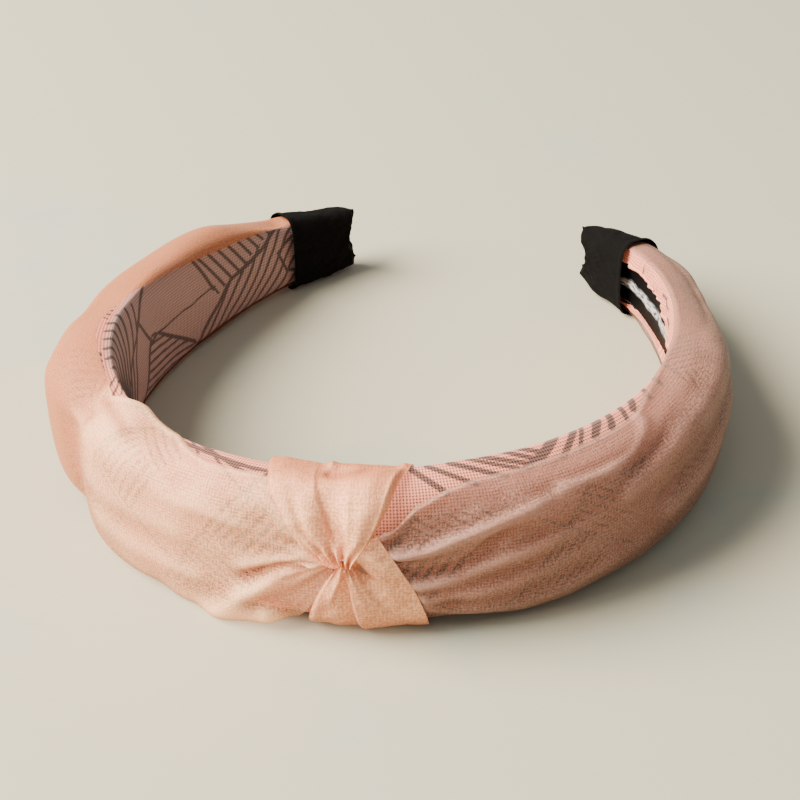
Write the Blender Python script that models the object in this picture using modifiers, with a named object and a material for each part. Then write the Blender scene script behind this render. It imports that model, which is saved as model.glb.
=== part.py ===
"""Knotted headband: a padded, cloth-covered hair band with a sheer overlay gathered into a front knot.

Metres, +Z up. The band stands on its long edge, as it rests on a table: the knot faces -Y, the two tips
point towards +Y, and the origin is the centre of the whole outline at table height.
"""

import math

import bmesh
import bpy
import numpy as np

MM = 0.001

# Centre line of the core, seen from above: a radius about the ring centre for each angle from the knot.
RING_RADIUS = 71.3 * MM
RING_COSINES = (5.3 * MM, 7.2 * MM, -1.4 * MM)
RING_SINES = (-1.0 * MM, -1.8 * MM)
RING_CENTRE = (1.7 * MM, 13.84 * MM)
TIP_ANGLE = math.radians(153.2)

# Outside of the covered band: height along Z, and how far it stands out from and in from the core.
CROWN_HEIGHT = 34.4 * MM
SIDE_HEIGHT = 33.0 * MM
TIP_HEIGHT = 15.0 * MM
CROWN_BULGE = 10.2 * MM
SIDE_BULGE = 11.4 * MM
TIP_BULGE = 4.3 * MM
CROWN_INSIDE = 3.4 * MM
TIP_INSIDE = 3.2 * MM
TAPER_START = 0.5
CORNER_POWER = 0.6

# The knot strip passes under the crown, and the tips sit a little off the table.
CROWN_LIFT = 1.2 * MM
CROWN_LIFT_FLAT = 22.0 * MM
CROWN_LIFT_END = 48.0 * MM
TIP_LIFT = 1.5 * MM

# Layers.
GAP = 0.3 * MM
PANEL_GAP = 0.55 * MM
CORE_THICKNESS = 1.8 * MM
CORE_EDGE_MARGIN = 2.6 * MM
CORE_EDGE_BEVEL = 0.4 * MM
LINING_THICKNESS = 0.4 * MM
LINING_SHARE = 0.72
ORGANZA_THICKNESS = 0.3 * MM
COVER_THICKNESS = 0.5 * MM
TAPE_THICKNESS = 0.5 * MM

# Slit where the printed cover's edges part over the lining, on the inside of the right arm.
SLIT_START = 124.0 * MM
SLIT_HALF_WIDTH = 5.2 * MM

# Sheer overlay, measured from the pinch: where each panel starts, and where its upper edge has climbed over
# the band's top. The edge climbs steeply near the knot.
PINCH_HALF_GAP = 4.0 * MM
LEFT_EDGE_CLIMB = 42.0 * MM
RIGHT_EDGE_CLIMB = 75.0 * MM
CLIMB_POWER = 0.35
LOWER_EDGE_DROP = 16.0 * MM
PANEL_SHORT = 3.0 * MM

# Knot strip: one loop of organza round the crown, pinched at the front.
STRIP_THICKNESS = 0.8 * MM
STRIP_CLEARANCE = 1.2 * MM
STRIP_PINCH_CLEARANCE = 2.6 * MM
STRIP_LOBE = 1.9 * MM
STRIP_PINCH_LEVEL = 0.2
STRIP_PINCH_HALF_WIDTH = 4.5 * MM
STRIP_TOP_HALF_WIDTH = 15.5 * MM
STRIP_BOTTOM_HALF_WIDTH = 12.0 * MM
STRIP_BACK_HALF_WIDTH = 10.0 * MM
STRIP_TOP_SHIFT = 1.0 * MM
STRIP_PINCH_SHIFT = 3.0 * MM
STRIP_BOTTOM_SHIFT = 6.6 * MM
THREAD_RADIUS = 0.3 * MM
BACK_STITCH_HEIGHT = 16.0 * MM
BACK_STITCH_HALF_WIDTH = 2.2 * MM
BACK_STITCH_COUNT = 7

# Black tape over the ends, where the core is straight.
TAPE_LENGTH = 20.0 * MM
TAPE_END = 1.4 * MM
STRAIGHT_END = 21.0 * MM

# How finely the shapes are cut.
GATHER_STATIONS = 4
CLIMB_STATIONS = 4
FAR_STATIONS = 12
TAPE_STATIONS = 5
SECTION_POINTS = 20
STRIP_COLUMNS = 9
THREAD_POINTS = 16
MERGE = 0.01 * MM

# Turns of a section: the line just over each long edge, and half the gathered panel's height at the knot.
OVER_EDGE = math.pi / 2.0 + math.pi / SECTION_POINTS
PINCH_TURN = 0.1
TURN_SLACK = 0.01

# Turns round the knot strip's loop in degrees, closer together on the front where it narrows to the pinch.
STRIP_TURNS = (
    (81.0, 63.0, 45.0, 30.0, 18.0, 9.0, 4.0)
    + (-2.0, -9.0, -18.0, -30.0, -45.0, -63.0, -81.0)
    + (-99.0, -135.0, -171.0, -189.0, -225.0, -261.0)
)


def clear_scene():
    for obj in list(bpy.data.objects):
        bpy.data.objects.remove(obj, do_unlink=True)


def smooth(x):
    x = np.clip(x, 0.0, 1.0)
    return x * x * (3.0 - 2.0 * x)


def ring_point(angle):
    radius = RING_RADIUS
    radius += sum(a * math.cos((k + 1) * angle) for k, a in enumerate(RING_COSINES))
    radius += sum(b * math.sin((k + 1) * angle) for k, b in enumerate(RING_SINES))
    x = RING_CENTRE[0] + radius * math.sin(angle)
    y = RING_CENTRE[1] - radius * math.cos(angle)
    return np.array([x, y])


class CentreLine:
    """The ring as a function of the distance along it from the knot, negative on the left arm."""

    def __init__(self, samples=1201):
        angles = np.linspace(-TIP_ANGLE, TIP_ANGLE, samples)
        self.points = np.array([ring_point(a) for a in angles])
        steps = np.linalg.norm(np.diff(self.points, axis=0), axis=1)
        run = np.concatenate([[0.0], np.cumsum(steps)])
        self.at = run - run[samples // 2]
        self.left = self.at[0]
        self.right = self.at[-1]
        self.straighten(self.left, self.left + STRAIGHT_END)
        self.straighten(self.right, self.right - STRAIGHT_END)

    def straighten(self, tip, bend):
        """Makes the line straight from its end at tip to the bend, as the core's taped ends are."""
        tip_point, bend_point = (
            np.array([np.interp(s, self.at, column) for column in self.points.T]) for s in (tip, bend)
        )
        within = (self.at - tip) * (self.at - bend) <= 0
        share = (self.at[within] - tip) / (bend - tip)
        self.points[within] = tip_point + share[:, None] * (bend_point - tip_point)

    def share(self, s):
        """0 at the knot and 1 at either tip."""
        return s / self.right if s > 0 else s / self.left

    def place(self, s):
        """The point at s and the direction that faces away from the head."""
        inside = min(max(s, self.left), self.right)
        x = np.interp(inside, self.at, self.points[:, 0])
        y = np.interp(inside, self.at, self.points[:, 1])
        ahead = min(inside + 0.5 * MM, self.right)
        behind = max(inside - 0.5 * MM, self.left)
        along = np.array([
            np.interp(ahead, self.at, self.points[:, 0]) - np.interp(behind, self.at, self.points[:, 0]),
            np.interp(ahead, self.at, self.points[:, 1]) - np.interp(behind, self.at, self.points[:, 1]),
        ])
        along /= np.linalg.norm(along)
        out = np.array([along[1], -along[0]])
        return np.array([x, y]) + along * (s - inside), out


LINE = CentreLine()


def band_height(s):
    share = LINE.share(s)
    if share < TAPER_START:
        return CROWN_HEIGHT + (SIDE_HEIGHT - CROWN_HEIGHT) * math.sin(math.pi * share) ** 2
    past = (share - TAPER_START) / (1.0 - TAPER_START)
    return SIDE_HEIGHT + (TIP_HEIGHT - SIDE_HEIGHT) * past**1.2


def band_floor(s):
    crown = 1.0 - smooth((abs(s) - CROWN_LIFT_FLAT) / (CROWN_LIFT_END - CROWN_LIFT_FLAT))
    tip = smooth((LINE.share(s) - TAPER_START) / (1.0 - TAPER_START))
    return CROWN_LIFT * crown + TIP_LIFT * tip


def band_bulge(s):
    """How far the skin stands out from the core: fullest at the sides, thin at the tips."""
    share = LINE.share(s)
    if share < TAPER_START:
        return CROWN_BULGE + (SIDE_BULGE - CROWN_BULGE) * smooth(share / TAPER_START)
    past = min((share - TAPER_START) / (1.0 - TAPER_START), 1.0)
    return SIDE_BULGE + (TIP_BULGE - SIDE_BULGE) * past**2


def band_inside(s):
    return CROWN_INSIDE + (TIP_INSIDE - CROWN_INSIDE) * min(LINE.share(s), 1.0)


def place(s, out, height):
    """A point out from the centre line by out, and up from the table by height."""
    point, outward = LINE.place(s)
    return (*(point + outward * out), height)


def rounded(value):
    """The rounded-box curve's reach for a cosine or sine, full size at the section's first flat."""
    flat = math.cos(math.pi / SECTION_POINTS)
    reach = math.copysign(abs(value) ** CORNER_POWER, value) / flat**CORNER_POWER
    return max(-1.0, min(1.0, reach))


def skin_point(s, turn, grow):
    """A point on the band's outside: turn is 0 outward and a quarter turn up, grow moves it off the skin."""
    half = 0.5 * band_height(s)
    middle = band_floor(s) + half
    across = rounded(math.cos(turn))
    bulge = band_bulge(s) if across > 0 else band_inside(s)
    return place(s, across * (bulge + grow), middle + rounded(math.sin(turn)) * (half + grow))


def level_turn(level):
    """The turn whose point stands at this share of the half height, -1 to 1."""
    flat = math.cos(math.pi / SECTION_POINTS)
    sine = flat * abs(level) ** (1.0 / CORNER_POWER)
    return math.copysign(math.asin(sine), level)


def section_turns():
    """The turns of a section's corners, once round from the outward side."""
    step = 2.0 * math.pi / SECTION_POINTS
    return [(k + 0.5) * step for k in range(SECTION_POINTS)]


def half_turns():
    """The same turns, counted up or down from the outward side."""
    return [t - 2.0 * math.pi if t > math.pi else t for t in section_turns()]


def principled(name, colour, roughness):
    material = bpy.data.materials.new(name)
    material.use_nodes = True
    shader = material.node_tree.nodes["Principled BSDF"]
    shader.inputs["Base Color"].default_value = (*colour, 1.0)
    shader.inputs["Roughness"].default_value = roughness
    material.diffuse_color = (*colour, 1.0)
    return material


def mesh_object(name, shape, material, collection):
    """Makes an object of the bmesh shape, with its normals out."""
    bmesh.ops.recalc_face_normals(shape, faces=shape.faces)
    mesh = bpy.data.meshes.new(name)
    shape.to_mesh(mesh)
    shape.free()
    mesh.shade_smooth()
    mesh.set_sharp_from_angle(angle=math.radians(40.0))
    mesh.materials.append(material)
    obj = bpy.data.objects.new(name, mesh)
    collection.objects.link(obj)
    return obj


def grid_shape(rows, close_rows=False, close_columns=False):
    """An open surface through rows of points, joined last to first where it closes."""
    shape = bmesh.new()
    verts = [[shape.verts.new(point) for point in row] for row in rows]
    row_pairs = range(len(verts) if close_columns else len(verts) - 1)
    for i in row_pairs:
        here = verts[i]
        there = verts[(i + 1) % len(verts)]
        for j in range(len(here) if close_rows else len(here) - 1):
            k = (j + 1) % len(here)
            shape.faces.new((here[j], here[k], there[k], there[j]))
    return shape


def loft_shape(rings):
    """A closed solid through rings of points, with a flat cap at each end."""
    shape = grid_shape(rings, close_rows=True)
    shape.verts.ensure_lookup_table()
    count = len(rings[0])
    shape.faces.new(shape.verts[:count])
    shape.faces.new(reversed(shape.verts[-count:]))
    return shape


def add_solidify(obj, thickness, offset):
    wall = obj.modifiers.new("Wall", "SOLIDIFY")
    wall.thickness = thickness
    wall.offset = offset
    wall.use_even_offset = True
    wall.use_rim = True


def arm_distances(reach):
    """Distances from the pinch at which every layer of one arm is cut, close together near the knot."""
    near = np.linspace(PINCH_HALF_GAP, LOWER_EDGE_DROP, GATHER_STATIONS)
    rising = np.linspace(LOWER_EDGE_DROP, CROWN_LIFT_END, CLIMB_STATIONS)
    far = np.linspace(CROWN_LIFT_END, reach - STRAIGHT_END, FAR_STATIONS)
    return [*near, *rising[1:-1], *far, reach - PANEL_SHORT]


def arm_reach(side):
    """From the pinch to the tip of the left (-1) or right (1) arm."""
    return STRIP_PINCH_SHIFT - LINE.left if side < 0 else LINE.right - STRIP_PINCH_SHIFT


def band_stations():
    """Stations from the left tip to the right one."""
    left = [STRIP_PINCH_SHIFT - d for d in reversed(arm_distances(arm_reach(-1)))]
    right = [STRIP_PINCH_SHIFT + d for d in arm_distances(arm_reach(1))]
    return [LINE.left] + left + [STRIP_PINCH_SHIFT] + right + [LINE.right]


def make_core(collection):
    """The C-shaped plastic band that springs the whole thing."""
    rings = []
    half_thick = 0.5 * CORE_THICKNESS
    for s in band_stations():
        low = band_floor(s) + CORE_EDGE_MARGIN
        high = band_floor(s) + band_height(s) - CORE_EDGE_MARGIN
        corners = ((half_thick, low), (half_thick, high), (-half_thick, high), (-half_thick, low))
        rings.append([place(s, out, height) for out, height in corners])
    material = principled("core_plastic", (0.62, 0.60, 0.57), 0.45)
    core = mesh_object("core_band", loft_shape(rings), material, collection)
    edge = core.modifiers.new("Rounded edges", "BEVEL")
    edge.width = CORE_EDGE_BEVEL
    edge.segments = 1
    edge.limit_method = "ANGLE"
    edge.angle_limit = math.radians(60.0)


def make_lining(collection):
    """Black satin ribbon along the core's inner face."""
    rows = []
    out = -0.5 * CORE_THICKNESS - GAP
    for s in band_stations():
        half = 0.5 * band_height(s) - CORE_EDGE_MARGIN
        middle = band_floor(s) + 0.5 * band_height(s)
        rows.append([place(s, out, middle + side * LINING_SHARE * half) for side in (-1.0, 0.0, 1.0)])
    material = principled("black_satin", (0.012, 0.011, 0.010), 0.3)
    lining = mesh_object("satin_lining", grid_shape(rows), material, collection)
    add_solidify(lining, LINING_THICKNESS, -1.0 if faces_out(lining) else 1.0)


def faces_out(obj):
    """Whether an open surface's first face looks away from the ring's centre."""
    face = obj.data.polygons[0]
    outward = face.center.x - RING_CENTRE[0], face.center.y - RING_CENTRE[1]
    return face.normal.x * outward[0] + face.normal.y * outward[1] > 0


def make_foam(collection):
    """Foam pad on the core's outer face, thick at the crown and thin at the tips."""
    inset = ORGANZA_THICKNESS + PANEL_GAP + COVER_THICKNESS + 2.0 * GAP
    back = 0.5 * CORE_THICKNESS + GAP
    turns = sorted(t for t in half_turns() if math.cos(t) > 0)
    rings = []
    for s in band_stations():
        half = 0.5 * band_height(s) - inset
        middle = band_floor(s) + 0.5 * band_height(s)
        bulge = band_bulge(s) - inset
        outline = [(back, -half)]
        outline += [(max(back, rounded(math.cos(t)) * bulge), rounded(math.sin(t)) * half) for t in turns]
        outline += [(back, half)]
        rings.append([place(s, out, middle + height) for out, height in outline])
    material = principled("foam", (0.86, 0.80, 0.70), 0.95)
    mesh_object("foam_pad", loft_shape(rings), material, collection)


def slit_half_angle(s):
    """How far the cover's two edges stand apart on the inner face, as a turn."""
    opening = SLIT_HALF_WIDTH * math.sqrt(max(s - SLIT_START, 0.0) / (LINE.right - SLIT_START))
    return level_turn(opening / (0.5 * band_height(s)))


def make_cover(collection):
    """Printed sleeve round the core and pad, open at both ends and slit inside the right arm."""
    grow = -ORGANZA_THICKNESS - PANEL_GAP
    rows = []
    for s in band_stations():
        rows.append([skin_point(s, t, grow) for t in cover_turns(slit_half_angle(s))])
    shape = grid_shape(rows)
    bmesh.ops.remove_doubles(shape, verts=shape.verts, dist=MERGE)
    material = principled("printed_cloth", (0.68, 0.38, 0.26), 0.8)
    cover = mesh_object("printed_cover", shape, material, collection)
    add_solidify(cover, COVER_THICKNESS, -1.0)


def cover_turns(slit):
    """Turns from the slit's upper edge over the top, round the outside and back to its lower edge."""
    first = math.pi - slit
    last = -math.pi + slit
    between = sorted(half_turns(), reverse=True)[1:-1]
    return [first] + [min(max(t, last), first) for t in between] + [last]


def panel_turns(upper, lower):
    """The section's own turns between the panel's two edges, so that it lies evenly on the cover."""
    wrapped = sorted((t for t in half_turns() if abs(t) < OVER_EDGE + TURN_SLACK), reverse=True)
    return [min(max(t, lower), upper) for t in wrapped]


def make_panel(name, side, climb, collection):
    """One sheer panel, gathered small at the knot and wrapped over both edges of its arm."""
    pinch = level_turn(STRIP_PINCH_LEVEL)
    rows = []
    for distance in arm_distances(arm_reach(side)):
        share_up = min((distance - PINCH_HALF_GAP) / (climb - PINCH_HALF_GAP), 1.0)
        share_down = min((distance - PINCH_HALF_GAP) / (LOWER_EDGE_DROP - PINCH_HALF_GAP), 1.0)
        upper = pinch + PINCH_TURN + (OVER_EDGE - pinch - PINCH_TURN) * share_up**CLIMB_POWER
        lower = pinch - PINCH_TURN - (OVER_EDGE + pinch - PINCH_TURN) * share_down
        s = STRIP_PINCH_SHIFT + side * distance
        rows.append([skin_point(s, t, 0.0) for t in panel_turns(upper, lower)])
    shape = grid_shape(rows)
    bmesh.ops.remove_doubles(shape, verts=shape.verts, dist=MERGE)
    material = principled(name + "_cloth", (0.88, 0.63, 0.48), 0.5)
    panel = mesh_object(name, shape, material, collection)
    add_solidify(panel, ORGANZA_THICKNESS, -1.0 if faces_out(panel) else 1.0)


def mix(a, b, share):
    return a + (b - a) * share


def strip_station(turn):
    """Half width, sideways shift and height off the skin of the knot strip at a turn."""
    level = rounded(math.sin(turn))
    if math.cos(turn) <= 0:
        up = 0.5 + 0.5 * level
        side = mix(STRIP_BOTTOM_HALF_WIDTH, STRIP_TOP_HALF_WIDTH, up)
        half_width = mix(STRIP_BACK_HALF_WIDTH, side, abs(level) ** 3)
        return half_width, mix(STRIP_BOTTOM_SHIFT, STRIP_TOP_SHIFT, up), STRIP_CLEARANCE
    if level > STRIP_PINCH_LEVEL:
        share = (level - STRIP_PINCH_LEVEL) / (1.0 - STRIP_PINCH_LEVEL)
        edge, edge_shift = STRIP_TOP_HALF_WIDTH, STRIP_TOP_SHIFT
    else:
        share = (STRIP_PINCH_LEVEL - level) / (1.0 + STRIP_PINCH_LEVEL)
        edge, edge_shift = STRIP_BOTTOM_HALF_WIDTH, STRIP_BOTTOM_SHIFT
    half_width = mix(STRIP_PINCH_HALF_WIDTH, edge, share)
    grow = mix(STRIP_PINCH_CLEARANCE, STRIP_CLEARANCE, share) + STRIP_LOBE * math.sin(math.pi * share)
    return half_width, mix(STRIP_PINCH_SHIFT, edge_shift, share), grow


def make_knot_strip(collection):
    """The organza loop round the crown: an upper fan and a lower fan that meet in the pinch."""
    rows = []
    for turn in (math.radians(a) for a in STRIP_TURNS):
        half_width, shift, grow = strip_station(turn)
        across = np.linspace(shift - half_width, shift + half_width, STRIP_COLUMNS)
        rows.append([skin_point(s, turn, grow) for s in across])
    material = principled("knot_cloth", (0.90, 0.62, 0.46), 0.5)
    strip = mesh_object("knot_strip", grid_shape(rows, close_columns=True), material, collection)
    add_solidify(strip, STRIP_THICKNESS, -1.0)


def thread_object(name, points, closed, collection):
    curve = bpy.data.curves.new(name, "CURVE")
    curve.dimensions = "3D"
    curve.bevel_depth = THREAD_RADIUS
    curve.bevel_resolution = 1
    curve.use_fill_caps = True
    path = curve.splines.new("POLY")
    path.points.add(len(points) - 1)
    for point, position in zip(path.points, points):
        point.co = (*position, 1.0)
    path.use_cyclic_u = closed
    curve.materials.append(principled(name + "_cotton", (0.80, 0.58, 0.45), 0.7))
    obj = bpy.data.objects.new(name, curve)
    collection.objects.link(obj)


def make_gather_thread(collection):
    """The binding round the pinched waist of the knot strip."""
    turn = level_turn(STRIP_PINCH_LEVEL)
    half_width, shift, grow = strip_station(turn)
    level = skin_point(0.0, turn, grow)[2]
    bulge = CROWN_BULGE + grow - 0.5 * STRIP_THICKNESS
    reach = half_width + 2.0 * GAP + 2.0 * THREAD_RADIUS
    depth = 0.5 * STRIP_THICKNESS + GAP + 2.0 * THREAD_RADIUS
    points = []
    for k in range(THREAD_POINTS):
        angle = 2.0 * math.pi * k / THREAD_POINTS
        points.append(place(shift + reach * math.cos(angle), bulge + depth * math.sin(angle), level))
    thread_object("gather_thread", points, True, collection)


def make_back_stitch(collection):
    """Whip stitch that closes the knot strip's two ends behind the crown."""
    out = -(CROWN_INSIDE + STRIP_CLEARANCE + GAP + THREAD_RADIUS)
    middle = CROWN_LIFT + 0.5 * CROWN_HEIGHT
    shift = 0.5 * STRIP_BOTTOM_SHIFT
    points = []
    for k in range(BACK_STITCH_COUNT):
        side = BACK_STITCH_HALF_WIDTH if k % 2 else -BACK_STITCH_HALF_WIDTH
        height = middle + BACK_STITCH_HEIGHT * (k / (BACK_STITCH_COUNT - 1) - 0.5)
        points.append(place(shift + side, out, height))
    thread_object("knot_back_stitch", points, False, collection)


def make_tip_wrap(name, side, collection):
    """Black tape folded over one end of the band, closed at the tip."""
    end = LINE.left if side < 0 else LINE.right
    grow = GAP + TAPE_THICKNESS
    rows = []
    for back in [*np.linspace(TAPE_LENGTH, 0.25 * TAPE_LENGTH, TAPE_STATIONS - 1), -TAPE_END]:
        s = end - side * back
        rows.append([skin_point(s, t, grow) for t in section_turns()])
    shape = grid_shape(rows, close_rows=True)
    shape.verts.ensure_lookup_table()
    shape.faces.new(shape.verts[-SECTION_POINTS:])
    material = principled(name + "_tape", (0.008, 0.007, 0.006), 0.85)
    tape = mesh_object(name, shape, material, collection)
    add_solidify(tape, TAPE_THICKNESS, -1.0)


def build():
    clear_scene()
    headband = bpy.data.collections.new("knotted_headband")
    bpy.context.scene.collection.children.link(headband)
    make_core(headband)
    make_lining(headband)
    make_foam(headband)
    make_cover(headband)
    make_panel("organza_left", -1.0, LEFT_EDGE_CLIMB, headband)
    make_panel("organza_right", 1.0, RIGHT_EDGE_CLIMB, headband)
    make_knot_strip(headband)
    make_gather_thread(headband)
    make_back_stitch(headband)
    make_tip_wrap("tip_wrap_left", -1.0, headband)
    make_tip_wrap("tip_wrap_right", 1.0, headband)


build()
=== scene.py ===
"""Looks of the knotted headband: sleeve, sheer overlay, knot, taped ends, floor, light and camera.

Lengths are millimetres until a mesh is made. s runs along the band from the middle of the crown and is
negative on the left arm. w runs round a section: 0 faces out, 0.5 is the top edge, 1 the middle of the
inner face, and negative values are the same below. Along and round are distances on the section's outline.
"""

import math
from collections import namedtuple

import bpy
import numpy as np
from mathutils import Matrix, Vector


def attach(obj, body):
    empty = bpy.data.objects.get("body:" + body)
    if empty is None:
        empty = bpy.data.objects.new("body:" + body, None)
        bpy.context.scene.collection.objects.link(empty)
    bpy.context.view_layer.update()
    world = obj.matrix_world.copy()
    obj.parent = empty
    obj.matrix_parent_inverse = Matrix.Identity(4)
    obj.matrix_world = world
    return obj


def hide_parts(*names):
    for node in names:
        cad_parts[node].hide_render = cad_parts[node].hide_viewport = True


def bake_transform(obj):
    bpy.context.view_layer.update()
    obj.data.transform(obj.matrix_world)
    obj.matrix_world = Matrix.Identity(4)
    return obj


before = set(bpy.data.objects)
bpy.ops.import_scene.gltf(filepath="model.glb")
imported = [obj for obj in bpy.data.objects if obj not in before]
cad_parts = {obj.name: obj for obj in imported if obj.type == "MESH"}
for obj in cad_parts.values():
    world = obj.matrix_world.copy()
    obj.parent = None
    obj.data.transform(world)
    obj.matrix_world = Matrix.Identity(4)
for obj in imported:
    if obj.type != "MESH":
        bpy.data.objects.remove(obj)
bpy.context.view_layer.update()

MM = 0.001
TURN = 2.0 * math.pi

# The band's centre line and section, as in the CAD.
RING_RADIUS = 71.3
RING_COSINES = (5.3, 7.2, -1.4)
RING_SINES = (-1.0, -1.8)
RING_CENTRE = (1.7, 13.84)
TIP_ANGLE = math.radians(153.2)
STRAIGHT_END = 21.0
CROWN_HEIGHT = 34.4
SIDE_HEIGHT = 33.0
TIP_HEIGHT = 15.0
CROWN_BULGE = 10.2
SIDE_BULGE = 11.4
TIP_BULGE = 4.3
CROWN_INSIDE = 3.4
TIP_INSIDE = 3.2
TAPER_START = 0.5
CROWN_LIFT = 1.2
TIP_LIFT = 1.5
CROWN_MIDDLE = CROWN_LIFT + 0.5 * CROWN_HEIGHT
ROUND_POWER = 10.0 / 3.0
TAPE_LENGTH = 20.0

# How far inside each taped end the cloths and the core stop.
HIDDEN_END = 9.0
CORE_END = 3.0

# Where the knot is pinched: station and distance up from the middle of the outer face.
PINCH_S = 3.0
PINCH_V = 3.6

FLOOR_CLEARANCE = 0.25

# Where the sleeve's slit begins on the inside of the right arm.
SLIT_START = 115.0

# The cloth simulation that finds the overlay's small wrinkles: its scale, frames and slack, and how far a
# wrinkle may stand off.
SETTLE_SCALE = 0.02
SETTLE_FRAMES = 16
SLACK = 0.03
WRINKLE_LIMIT = 0.8
SLACK_CLOTH = {
    "quality": 6,
    "mass": 0.2,
    "tension_stiffness": 12.0,
    "compression_stiffness": 12.0,
    "shear_stiffness": 4.0,
    "bending_stiffness": 0.4,
}

# Sizes of the cloths' patterns: the print's cells, the mesh cloth's holes and the organza's threads.
PRINT_CELL = 0.33
MESH_PITCH = 0.62
WEFT_PITCH = 0.8
WARP_PITCH = 0.72

# Where the knot's parts begin along their own cloth, clear of each other and of the panels.
UPPER_FAN_AT = 300.0
LOWER_FAN_AT = 500.0
KNOT_BACK_AT = 700.0


def smooth(x):
    x = np.clip(x, 0.0, 1.0)
    return x * x * (3.0 - 2.0 * x)


def run_along(x, y):
    """The length so far at each point of a line."""
    return np.concatenate([[0.0], np.cumsum(np.hypot(np.diff(x), np.diff(y)))])


def ring_table():
    angle = np.linspace(-TIP_ANGLE, TIP_ANGLE, 4001)
    radius = RING_RADIUS + sum(a * np.cos((k + 1) * angle) for k, a in enumerate(RING_COSINES))
    radius = radius + sum(b * np.sin((k + 1) * angle) for k, b in enumerate(RING_SINES))
    x = RING_CENTRE[0] + radius * np.sin(angle)
    y = RING_CENTRE[1] - radius * np.cos(angle)
    run = run_along(x, y)
    at = run - run[len(run) // 2]
    for tip, bend in ((at[0], at[0] + STRAIGHT_END), (at[-1], at[-1] - STRAIGHT_END)):
        within = (at - tip) * (at - bend) <= 0
        share = (at[within] - tip) / (bend - tip)
        for line in (x, y):
            ends = np.interp((tip, bend), at, line)
            line[within] = ends[0] + (ends[1] - ends[0]) * share
    return at, x, y


AT, LINE_X, LINE_Y = ring_table()
LEFT, RIGHT = AT[0], AT[-1]


def end_of(side):
    return (LEFT, "left") if side < 0 else (RIGHT, "right")


def line_at(s):
    """Points on the centre line and the unit direction away from the head."""
    inside = np.clip(s, LEFT, RIGHT)
    ahead = np.minimum(inside + 1.5, RIGHT)
    behind = np.maximum(inside - 1.5, LEFT)
    tx = np.interp(ahead, AT, LINE_X) - np.interp(behind, AT, LINE_X)
    ty = np.interp(ahead, AT, LINE_Y) - np.interp(behind, AT, LINE_Y)
    length = np.hypot(tx, ty)
    tx, ty = tx / length, ty / length
    x = np.interp(inside, AT, LINE_X) + tx * (s - inside)
    y = np.interp(inside, AT, LINE_Y) + ty * (s - inside)
    return x, y, ty, -tx


def under_tape(s):
    """1 where the taped ends cover the band, 0 on the open band."""
    from_tip = np.where(s > 0, RIGHT - s, s - LEFT)
    return smooth((TAPE_LENGTH + 3.0 - from_tip) / 5.0)


def arm_share(s):
    return np.abs(s) / np.where(s > 0, RIGHT, -LEFT)


def band(s):
    """Half height, floor, and how far the section stands out and in, at stations s."""
    share = arm_share(s)
    past = np.clip((share - TAPER_START) / (1.0 - TAPER_START), 0.0, 1.0)
    side = CROWN_HEIGHT + (SIDE_HEIGHT - CROWN_HEIGHT) * np.sin(np.pi * np.minimum(share, 0.5)) ** 2
    height = np.where(share < TAPER_START, side, SIDE_HEIGHT + (TIP_HEIGHT - SIDE_HEIGHT) * past**1.2)
    crown = 1.0 - smooth((np.abs(s) - 22.0) / 26.0)
    floor = CROWN_LIFT * crown + TIP_LIFT * smooth(past)
    full = CROWN_BULGE + (SIDE_BULGE - CROWN_BULGE) * smooth(share / TAPER_START)
    bulge = np.where(share < TAPER_START, full, SIDE_BULGE + (TIP_BULGE - SIDE_BULGE) * past**2)
    inside = CROWN_INSIDE + (TIP_INSIDE - CROWN_INSIDE) * np.minimum(share, 1.0)
    return 0.5 * height, floor, bulge, inside


SAMPLES = 121
TABLE_S = np.arange(LEFT - 5.0, RIGHT + 6.0, 1.0)


def even_quarter(depth, half):
    """A quarter of a section at even steps of length, as reach, rise and normal; and its length."""
    phi = np.linspace(0.0, 0.5 * math.pi, 240)
    powers = (np.cos(phi) / depth) ** ROUND_POWER + (np.sin(phi) / half) ** ROUND_POWER
    radius = powers ** (-1.0 / ROUND_POWER)
    reach = radius * np.cos(phi)
    rise = radius * np.sin(phi)
    run = run_along(reach, rise)
    even = np.linspace(0.0, run[-1], SAMPLES)
    columns = (reach, rise, np.gradient(rise, run), -np.gradient(reach, run))
    return np.stack([np.interp(even, run, c) for c in columns], axis=-1), run[-1]


def section_tables():
    half, _, bulge, inside = band(TABLE_S)
    faces = [[even_quarter(d, h) for d, h in zip(depth, half)] for depth in (bulge, inside)]
    shapes = [np.stack([shape for shape, _ in face]) for face in faces]
    lengths = [np.array([length for _, length in face]) for face in faces]
    return shapes, lengths


SHAPES, LENGTHS = section_tables()


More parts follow.
